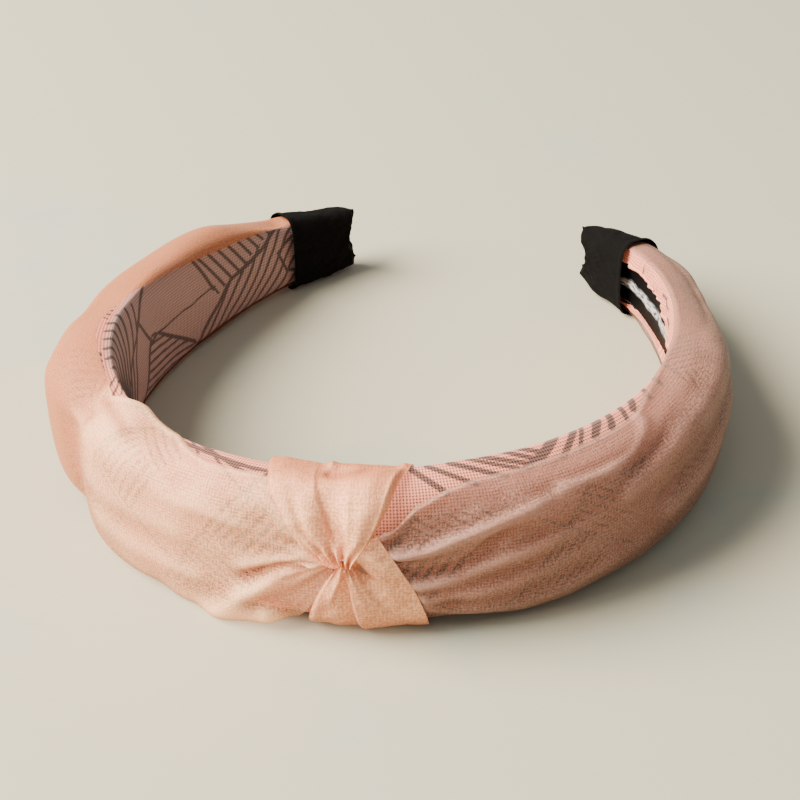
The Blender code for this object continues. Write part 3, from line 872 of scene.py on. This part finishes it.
RIGHT_FOLDS = (
    Fold(
        ((6, 4.2), (13.2, 4.7), (17.5, 5.6), (22, 7.6), (28.5, 9.6), (39.5, 12.5), (55.5, 14.3), (68, 15.5)),
        2, (1.3, 4.6), 0.55, fade=0.5,
    ),
    Fold(((8, 5.2), (12.8, 6.8), (16.5, 9.8), (21.5, 12.4), (27.8, 14), (38, 15.5)), -0.8, (0.8, 2.2)),
    Fold(((9, 7.5), (14.8, 13), (20.5, 16.1), (27, 18.4), (38, 20)), 0.8, (0.7, 2), 0.7),
    Fold(
        ((10, 0.4), (14.8, -1), (18.5, -1.4), (23.5, -0.4), (27.5, 2.1), (30, 5.6), (33.5, 8), (42, 9.5)),
        -1.9, (0.8, 2.2), fade=0.65,
    ),
    Fold(
        ((10, -2.6), (16, -3.6), (21, -2), (27.5, 0.2), (33.8, 2), (41.5, 4), (51.8, 6.1), (61.5, 9.2)),
        1.5, (1.2, 4.4), 0.6, fade=0.55,
    ),
    Fold(
        ((12, -5.6), (17.8, -7.6), (24.8, -6.8), (32, -5.5), (41.5, -2.3), (54.2, 0.8), (70.2, 4.6)),
        1, (1.2, 4.6), 0.9,
    ),
    Fold(((13, -9), (22, -12), (36, -11), (54, -8), (76, -6)), 0.9, (1.4, 4.5), 1.2),
    Fold(((47, 17.6), (53.5, 16.9), (58.5, 16.9), (62.8, 18.5), (66.5, 21.8)), -1.1, (1.4, 2), fade=0.8),
    Fold(((44, 14.6), (54, 13.9), (61, 14.6), (67, 17.6), (71, 22)), 1, (1.6, 2.8), 0.9, fade=0.85),
    Fold(((58, 8), (76, 12), (96, 13), (120, 11)), 1.1, (3, 5), 1.6),
    Fold(((68, 1), (92, 4), (120, 4.5), (150, 3.5)), -0.8, (2.5, 3.5)),
    Fold(((70, -4), (92, -1), (120, 0), (150, 0)), 0.9, (3.5, 4.5)),
)


def overlay_grid(side, steps, across):
    """Stations and places of a panel's grid, finer near the pinch."""
    reach = (PINCH_S - LEFT if side < 0 else RIGHT - PINCH_S) - HIDDEN_END
    near, far = steps
    d = np.concatenate([np.linspace(2.5, 40.0, near), np.linspace(40.0, reach, far)[1:]])
    top, low = (LEFT_TOP, LEFT_LOW) if side < 0 else (RIGHT_TOP, RIGHT_LOW)
    high, below = np.interp(d, *top), np.interp(d, *low)
    t = np.linspace(0.0, 1.0, across)
    return Skin((PINCH_S + side * d)[:, None], below[:, None] + (high - below)[:, None] * t), d, t


def settle(points, normals, seed):
    """How far slack cloth buckles off a grid of points, found by simulating it held round its rim."""
    rows, columns = points.shape[:2]
    index, quads = grid_quads(rows, columns)
    rng = np.random.default_rng(seed)
    start = points + normals * rng.uniform(-0.05, 0.05, (rows, columns, 1))
    mesh = bpy.data.meshes.new("slack")
    mesh.from_pydata((start.reshape(-1, 3) * SETTLE_SCALE).tolist(), [], quads.tolist())
    cloth = linked("slack", mesh)
    rim = cloth.vertex_groups.new(name="rim")
    held = np.concatenate([index[0], index[-1], index[:, 0], index[:, -1]])
    rim.add(held.tolist(), 1.0, "REPLACE")
    cloth_modifier = cloth.modifiers.new("cloth", "CLOTH")
    settings = cloth_modifier.settings
    settings.vertex_group_mass = "rim"
    for key, value in SLACK_CLOTH.items():
        setattr(settings, key, value)
    settings.shrink_min = -SLACK
    settings.effector_weights.gravity = 0.0
    cloth_modifier.collision_settings.use_collision = False
    scene = bpy.context.scene
    for frame_number in range(1, SETTLE_FRAMES + 1):
        scene.frame_set(frame_number)
    shaped = cloth.evaluated_get(bpy.context.evaluated_depsgraph_get())
    flat = np.empty(rows * columns * 3)
    shaped.data.vertices.foreach_get("co", flat)
    scene.frame_set(1)
    bpy.data.objects.remove(cloth)
    moved = flat.reshape(rows, columns, 3) / SETTLE_SCALE - points
    return np.sum(moved * normals, axis=-1)


def stretch(values, rows, columns):
    """A grid of values drawn out to more rows and columns."""
    old_rows, old_columns = values.shape
    wide = np.stack([np.interp(columns, np.linspace(0.0, 1.0, old_columns), row) for row in values])
    return np.stack([np.interp(rows, np.linspace(0.0, 1.0, old_rows), column) for column in wide.T], axis=1)


def slack_wrinkles(side, d, t):
    """Wrinkles of the loosely laid panel, from a cloth simulation on a coarser grid."""
    skin, coarse_d, _ = overlay_grid(side, (30, 90), 40)
    _, _, nx, ny = line_at(skin.s)
    normals = np.stack([nx * skin.normal_out, ny * skin.normal_out, skin.normal_up], axis=-1)
    moved = settle(skin.points(0.0), normals, 70 + side)
    moved = evened(np.clip(moved, -WRINKLE_LIMIT, WRINKLE_LIMIT), 3) * smooth(coarse_d / 30.0)[:, None]
    rows = np.interp(d, coarse_d, np.linspace(0.0, 1.0, len(coarse_d)))
    return stretch(moved, rows, t)


def laid_out(skin, points):
    """Cloth coordinates that follow the folds up and down, so that the weave isn't stretched on them."""
    steps = np.linalg.norm(np.diff(points, axis=1), axis=-1)
    run = np.concatenate([np.zeros((len(steps), 1)), np.cumsum(steps, axis=1)], axis=1)
    start = np.array([np.interp(0.0, along, length) for along, length in zip(skin.along, run)])
    return np.stack([skin.s, run - start[:, None]], axis=-1)


def under_fans(skin):
    """1 where the knot's fans cover a panel, 0 elsewhere."""
    right = np.interp(skin.along, (-24.0, -12.0, -5.0, 2.5, 9.0, 24.0), (19.0, 17.5, 15.4, 12.3, 8.9, 15.0))
    left = np.interp(skin.along, (-24.0, -8.0, 3.6, 10.0, 24.0), (-5.4, -1.5, 2.0, -6.0, -14.0))
    return smooth((right + 0.8 - skin.s) / 1.6) * smooth((skin.s - left + 0.8) / 1.6)


def make_overlay(side):
    name = end_of(side)[1]
    skin, d, t = overlay_grid(side, (90, 210), 120)
    lift = 0.1 + 0.3 * wave_noise(skin.s, skin.along, 21 + (side > 0), 42.0, 3)
    lift += gathers(skin, 4 if side < 0 else 9, 0.3)
    lift += left_folds(skin) if side < 0 else folds(skin, RIGHT_FOLDS)
    lift += slack_wrinkles(side, d, t)
    lift = np.maximum(lift, -0.3) * smooth(d / 7.0)[:, None]
    hidden = under_fans(skin)
    lift = lift * (1.0 - hidden) + np.minimum(lift, 0.4) * hidden
    ending = (42.0, 30.0) if side < 0 else (85.0, 25.0)
    rim = smooth((t - 0.962) / 0.038)[None, :] * (1.0 - smooth((d - ending[0]) / ending[1]))[:, None]
    lift = evened(lift, 2) + 0.3 * np.sin(np.pi * rim) - 0.15 * rim
    taped = under_tape(skin.s)
    points = skin.points((padding(skin) + lift) * (1.0 - taped) - 0.2 * taped)
    # The right panel takes the darker organza, painted shade for its side away from the lamp.
    look = ORGANZA_LEFT if side < 0 else ORGANZA_RIGHT_SHADED
    obj = sheet("overlay_" + name, points, laid_out(skin, points), look, crest_of(lift))
    bend_with(obj, "organza_" + name)


# ---- knot


def profile(u, knots, values):
    """A smooth curve through values at knots, for pleats across a fan."""
    k = np.clip(np.searchsorted(knots, u) - 1, 0, len(knots) - 2)
    knots = np.asarray(knots)
    values = np.asarray(values)
    share = smooth((u - knots[k]) / (knots[k + 1] - knots[k]))
    return values[k] + (values[k + 1] - values[k]) * share


# The upper fan's left and right edges, as stations at places round the section. A fan's table holds places
# across it from 0 to 1, and its folds' heights there, near the pinch and at the far edge.
UPPER_W = (0.036, 0.062, 0.104, 0.154, 0.221, 0.308, 0.36, 0.474, 0.56, 0.66)
UPPER_LEFT = (1.4, -0.9, -3.5, -5.5, -7.4, -9.6, -11.4, -13.4, -14.0, -14.0)
UPPER_RIGHT = (4.2, 4.6, 5.9, 7.4, 9.1, 11.1, 12.3, 15.0, 16.8, 17.0)
UPPER_TABLE = (
    (0.0, 0.04, 0.14, 0.3, 0.46, 0.52, 0.6, 0.72, 0.83, 0.95, 1.0),
    (0.1, 0.7, 0.9, 1.1, 1.1, 0.6, 0.5, 1.7, 2.3, 1.6, 0.1),
    (0.0, 0.1, 0.2, 0.2, 0.2, 0.1, 0.1, 0.3, 0.4, 0.3, 0.0),
)
UPPER_FOLDS = (
    Fold(((0, 21.4), (4.2, 22.2), (11, 24), (15, 25)), -1, (1.4, 1.6), fade=0.8),
    Fold(((-1, 4.4), (-4, 9.5), (-6, 15), (-7.5, 21)), -0.5, (0.5, 1.5)),
)


def knot_piece(name, skin, lift, u_start):
    uv = np.stack([skin.s + u_start, skin.along], axis=-1)
    ride_on("crown", sheet(name, skin.points(lift), uv, KNOT, crest_of(lift)), "knot_strip")


def fan_lift(across, table, pleats, rise, far):
    """Tight pleats at the pinch that open into the fan's folds, which change towards its far edge."""
    near_lift, far_lift = (profile(across, table[0], heights) for heights in table[1:])
    return pleats * (1.0 - rise) + (near_lift * (1.0 - far) + far_lift * far + 0.9) * rise


def smoothed(line):
    """A sampled line with its corners taken off, its ends kept."""
    even = line.copy()
    even[3:-3] = np.convolve(line, np.full(7, 1.0 / 7.0), mode="valid")
    return even


def make_upper_fan():
    """The cloth that fans up from the pinch over the crown's top edge."""
    w = np.concatenate([np.linspace(0.04, 0.2, 60), np.linspace(0.2, 0.66, 110)[1:]])
    left = smoothed(np.interp(w, UPPER_W, UPPER_LEFT))
    right = smoothed(np.interp(w, UPPER_W, UPPER_RIGHT))
    u = np.linspace(0.0, 1.0, 170)
    s = left[:, None] + (right - left)[:, None] * u
    skin = Skin(s, np.broadcast_to(w[:, None], s.shape))
    rise = smooth((skin.w - 0.04) / 0.15)
    far = smooth((skin.w - 0.36) / 0.2)
    crease = np.interp(skin.w, (0.04, 0.11, 0.19, 0.31, 0.42, 0.6), (0.62, 0.6, 0.49, 0.42, 0.38, 0.36))
    across = np.where(u < crease, u / crease * 0.5, 0.5 + (u - crease) / (1.0 - crease) * 0.5)
    lift = fan_lift(across, UPPER_TABLE, 2.0 + 0.7 * np.cos(TURN * 5.0 * u + 0.6), rise, far)
    lift += 0.22 * wave_noise(skin.s, skin.along, 41, 13.0, 3) * rise
    lift += folds(skin, UPPER_FOLDS)
    lift += bump_at(skin, 0.8, 10.5, -1.5, (6.0, 1.9), -75.0) + bump_at(skin, -0.5, 24.5, 0.6, (1.0, 1.6))
    knot_piece("knot_upper_fan", skin, lift, UPPER_FAN_AT)


# The lower fan's edge: how far round it from left to right, s, and distance along the section.
LOWER_EDGE = (
    (0, 0.7, 0.78, 0.86, 0.93, 1),
    (-5.4, 19, 17.5, 15.4, 12.3, 8.9),
    (-24, -24, -12, -5, 2.5, 9),
)
LOWER_TABLE = (
    (0.0, 0.04, 0.12, 0.2, 0.32, 0.36, 0.46, 0.58, 0.7, 0.86, 0.97, 1.0),
    (0.1, 0.5, 0.4, 0.6, 0.2, 1.4, 1.4, 1.0, 0.4, 0.9, 1.0, 0.1),
    (0.0, 0.4, 0.2, 0.4, 0.1, 0.8, 0.5, 0.4, 0.4, 0.5, 0.5, 0.0),
)


def make_lower_fan():
    """The cloth that fans down from the pinch over the crown's lower edge, its right side folded."""
    u = np.linspace(0.0, 1.0, 190)
    r = np.concatenate([np.linspace(0.02, 0.3, 50), np.linspace(0.3, 1.0, 100)[1:]])[:, None]
    edge_s = smoothed(np.interp(u, LOWER_EDGE[0], LOWER_EDGE[1]))
    edge_v = smoothed(np.interp(u, LOWER_EDGE[0], LOWER_EDGE[2]))
    s = PINCH_S + r * (edge_s - PINCH_S) - 2.1 * np.exp(-((u / 0.2) ** 2)) * np.sin(math.pi * r)
    v = PINCH_V + r * (edge_v - PINCH_V)
    skin = Skin(s, v / (2.0 * np.interp(s, TABLE_S, LENGTHS[0])))
    far = smooth((r - 0.35) / 0.5)
    rise = smooth(r / 0.22)
    lift = fan_lift(u, LOWER_TABLE, 1.9 + 0.6 * np.cos(TURN * 6.0 * u), rise, far)
    lift += 0.2 * wave_noise(skin.s, skin.along, 43, 12.0, 3) * rise
    lift += bump_at(skin, 6.0, 0.2, -2.1, (3.6, 1.1), -55.0)
    lift += bump_at(skin, 9.4, 3.2, 1.0, (4.0, 1.6), -50.0)
    lift += fold(skin, Fold(((3.0, 1.0), (0.9, -5.0), (-0.4, -10.0)), 0.7, (0.6, 1.4), 0.4))
    knot_piece("knot_lower_fan", skin, lift, LOWER_FAN_AT)


def make_knot_back():
    """The loop's inner side, behind the crown and under it."""
    turn = np.linspace(0.6, 1.52, 80)
    left = np.interp(turn, (0.6, 1.0, 1.52), (-14.6, -6.5, -5.6))
    right = np.interp(turn, (0.6, 1.0, 1.52), (16.6, 12.5, 18.7))
    u = np.linspace(0.0, 1.0, 60)
    s = left[:, None] + (right - left)[:, None] * u
    skin = Skin(s, np.where(turn <= 1.0, turn, turn - 2.0)[:, None])
    grid_t = turn[:, None]
    lift = 0.7 + 0.3 * np.cos(TURN * 4.0 * u) * np.sin(math.pi * (grid_t - 0.6) / 0.92)
    lift += 0.15 * wave_noise(s, grid_t * 40.0, 44, 10.0, 2)
    skin.along = np.broadcast_to(grid_t * 40.0, s.shape)
    knot_piece("knot_back", skin, lift, KNOT_BACK_AT)


def thread(name, path, radius, node, closed=False, sides=8):
    """A round thread along a path."""
    path = np.asarray(path, float)
    ahead = np.roll(path, -1, axis=0) - np.roll(path, 1, axis=0)
    if not closed:
        ahead[0] = path[1] - path[0]
        ahead[-1] = path[-1] - path[-2]
    ahead /= np.linalg.norm(ahead, axis=1)[:, None]
    side = np.cross(ahead, (0.31, 0.17, 0.93))
    side /= np.linalg.norm(side, axis=1)[:, None]
    up = np.cross(side, ahead)
    turns = np.linspace(0.0, TURN, sides + 1)
    rings = [path + radius * (side * math.cos(t) + up * math.sin(t)) for t in turns]
    points = np.stack(rings, axis=1)
    if closed:
        points = np.concatenate([points, points[:1]], axis=0)
    ride_on("crown", sheet(name, points, None, THREAD), node)


def make_threads():
    turns = np.linspace(0.0, TURN, 160, endpoint=False)
    s = PINCH_S + 1.5 * np.cos(turns)
    out = CROWN_BULGE + 0.5 + 0.9 * np.sin(turns)
    path = place_at(s, out, CROWN_MIDDLE + PINCH_V + 0.25 * np.sin(3.0 * turns))
    thread("binding_thread", path, 0.16, "gather_thread", closed=True)
    k = np.linspace(0.0, 13.0, 300)
    zig = np.abs((k % 2.0) - 1.0) * 2.0 - 1.0
    path = place_at(3.3 + 1.9 * zig, -4.75 - 0.25 * (1.0 - zig**2), CROWN_MIDDLE + 15.0 * (k / 13.0 - 0.5))
    thread("back_stitch", path, 0.17, "knot_back_stitch")


# ---- taped ends


def make_tape(side):
    """Black tape folded over one end: a flat sewn sleeve with pointed, slightly frayed corners."""
    tip, name = end_of(side)
    horn, narrow, raised, seed = (2.0, 0.14, 0.6, 52) if side < 0 else (4.2, 0.34, 0.9, 61)
    back = np.concatenate([np.linspace(TAPE_LENGTH, 1.0, 70), np.linspace(1.0, -1.6, 22)[1:]])[:, None]
    skin = Skin(tip - side * back, np.linspace(-1.0, 1.0, 141))
    height = skin.rise / np.abs(skin.rise).max(axis=1)[:, None]
    end = smooth((TAPE_LENGTH - back) / TAPE_LENGTH)
    near_end = smooth((9.0 - back) / 10.0)
    slide = side * end**3 * (horn * np.abs(height) ** 3 - 0.7 * horn)
    slide += side * end**2 * 0.5 * wave_noise(skin.rise, skin.out, seed, 6.0, 2)
    lift = 0.75 + 0.3 * wave_noise(skin.s, 1.5 * skin.rise + skin.out, seed + 1, 9.0, 3) * (0.4 + end)
    lift += 0.3 * mound(TAPE_LENGTH - back, 0.8, 0.7)
    lift += end**4 * 0.9 * np.abs(height) ** 4
    flatten = smooth((1.2 - back) / 2.6)
    skin.out = skin.out * (1.0 - 0.82 * flatten) + 0.4 * flatten
    skin.rise = skin.rise * (1.0 - narrow * near_end) + raised * near_end
    uv = np.stack([skin.s + slide, skin.along], axis=-1)
    points = skin.points(lift * (1.0 - 0.6 * flatten), slide)
    ride_on(name + "_arm", sheet("tape_" + name, points, uv, TAPE), "tip_wrap_" + name)


# ---- scene


# The floor's half side, the lamps as (name, place, disk size, watts, colour), and the camera. Metres.
FLOOR_REACH = 3.0
LAMPS = (
    ("key", (-0.95, -0.27, 0.88), 1.1, 108.0, (1.0, 0.96, 0.88)),
    ("fill", (-0.1, -1.0, 0.8), 1.2, 1.0, (1.0, 0.96, 0.9)),
)
ROOM_COLOUR = (0.84, 0.93, 1.0, 1.0)
ROOM_STRENGTH = 0.5
CAMERA_AZIMUTH = math.radians(12.842)
CAMERA_ELEVATION = math.radians(32.841)
CAMERA_ROLL = math.radians(1.48)
CAMERA_DISTANCE = 0.5096
CAMERA_TARGET = (0.002384, -0.008848, 0.015)
CAMERA_LENS = 99.0


def make_floor():
    mesh = bpy.data.meshes.new("floor")
    r = FLOOR_REACH
    mesh.from_pydata([(-r, -r, 0.0), (r, -r, 0.0), (r, r, 0.0), (-r, r, 0.0)], [], [(0, 1, 2, 3)])
    g = Graph("pale_board")
    place = g.add("ShaderNodeTexCoord").outputs["Object"]
    cloud = g.remap(g.noise(place, 9.0, 6.0, 0.65), 0.5, 0.74)
    colour = g.mix(g.times(cloud, 0.6), (0.43, 0.383, 0.27), (0.27, 0.37, 0.33))
    mesh.materials.append(g.look(Base_Color=colour, Roughness=0.8))
    linked("floor", mesh)


def make_light(name, place, size, power, colour):
    """A soft round lamp that faces the origin."""
    data = bpy.data.lights.new(name, "AREA")
    data.shape = "DISK"
    data.size = size
    data.energy = power
    data.color = colour
    light = linked(name, data)
    light.location = place
    light.rotation_euler = (-Vector(place)).to_track_quat("-Z", "Y").to_euler()


def make_camera():
    azimuth, elevation, roll = CAMERA_AZIMUTH, CAMERA_ELEVATION, CAMERA_ROLL
    level = np.array([math.cos(azimuth), math.sin(azimuth), 0.0])
    towards = np.array([math.sin(azimuth), -math.cos(azimuth), 0.0])
    back = towards * math.cos(elevation) + np.array([0.0, 0.0, math.sin(elevation)])
    right = level * math.cos(roll) - np.cross(back, level) * math.sin(roll)
    data = bpy.data.cameras.new("camera")
    data.lens = CAMERA_LENS
    data.sensor_width = 36.0
    camera = linked("camera", data)
    camera.location = np.array(CAMERA_TARGET) + back * CAMERA_DISTANCE
    axes = np.stack([right, np.cross(back, right), back], axis=1)
    camera.rotation_euler = Matrix(axes.tolist()).to_euler()
    bpy.context.scene.camera = camera


def make_world():
    world = bpy.data.worlds.new("room")
    world.use_nodes = True
    background = world.node_tree.nodes["Background"]
    background.inputs["Color"].default_value = ROOM_COLOUR
    background.inputs["Strength"].default_value = ROOM_STRENGTH
    bpy.context.scene.world = world


CORE = plain_material("core_plastic_look", (0.62, 0.60, 0.57), 0.5, 300.0)
FOAM = plain_material("foam_look", (0.86, 0.80, 0.70), 0.95, 900.0)
THREAD = plain_material("thread_look", (0.80, 0.56, 0.42), 0.7, 1500.0)
PRINT = print_material()
ORGANZA_LEFT = organza_material(
    "organza_left_look", (1.0, 0.67, 0.38), (1.0, 0.47, 0.24), (0.36, 0.105, 0.036), 0.56, 0.4
)
# Painted shade: the right panel's organza is a darker copy of the left panel's, for the side that faces away
# from the lamp.
ORGANZA_RIGHT_SHADED = organza_material(
    "organza_right_shaded_look", (0.58, 0.32, 0.235), (0.33, 0.155, 0.105), (0.17, 0.073, 0.045), 0.62, 0.45
)
KNOT = organza_material(
    "knot_organza", (1.0, 0.6, 0.33), (1.0, 0.41, 0.2), (0.54, 0.165, 0.065), 0.84, 0.6
)
TAPE = tape_material()
SATIN = satin_material()

for arm in (-1, 1):
    make_hidden_layers(arm)
    make_lining(arm)
    make_sleeve(arm)
    make_overlay(arm)
    make_tape(arm)
make_upper_fan()
make_lower_fan()
make_knot_back()
make_threads()
make_floor()
make_world()
for lamp in LAMPS:
    make_light(*lamp)
make_camera()
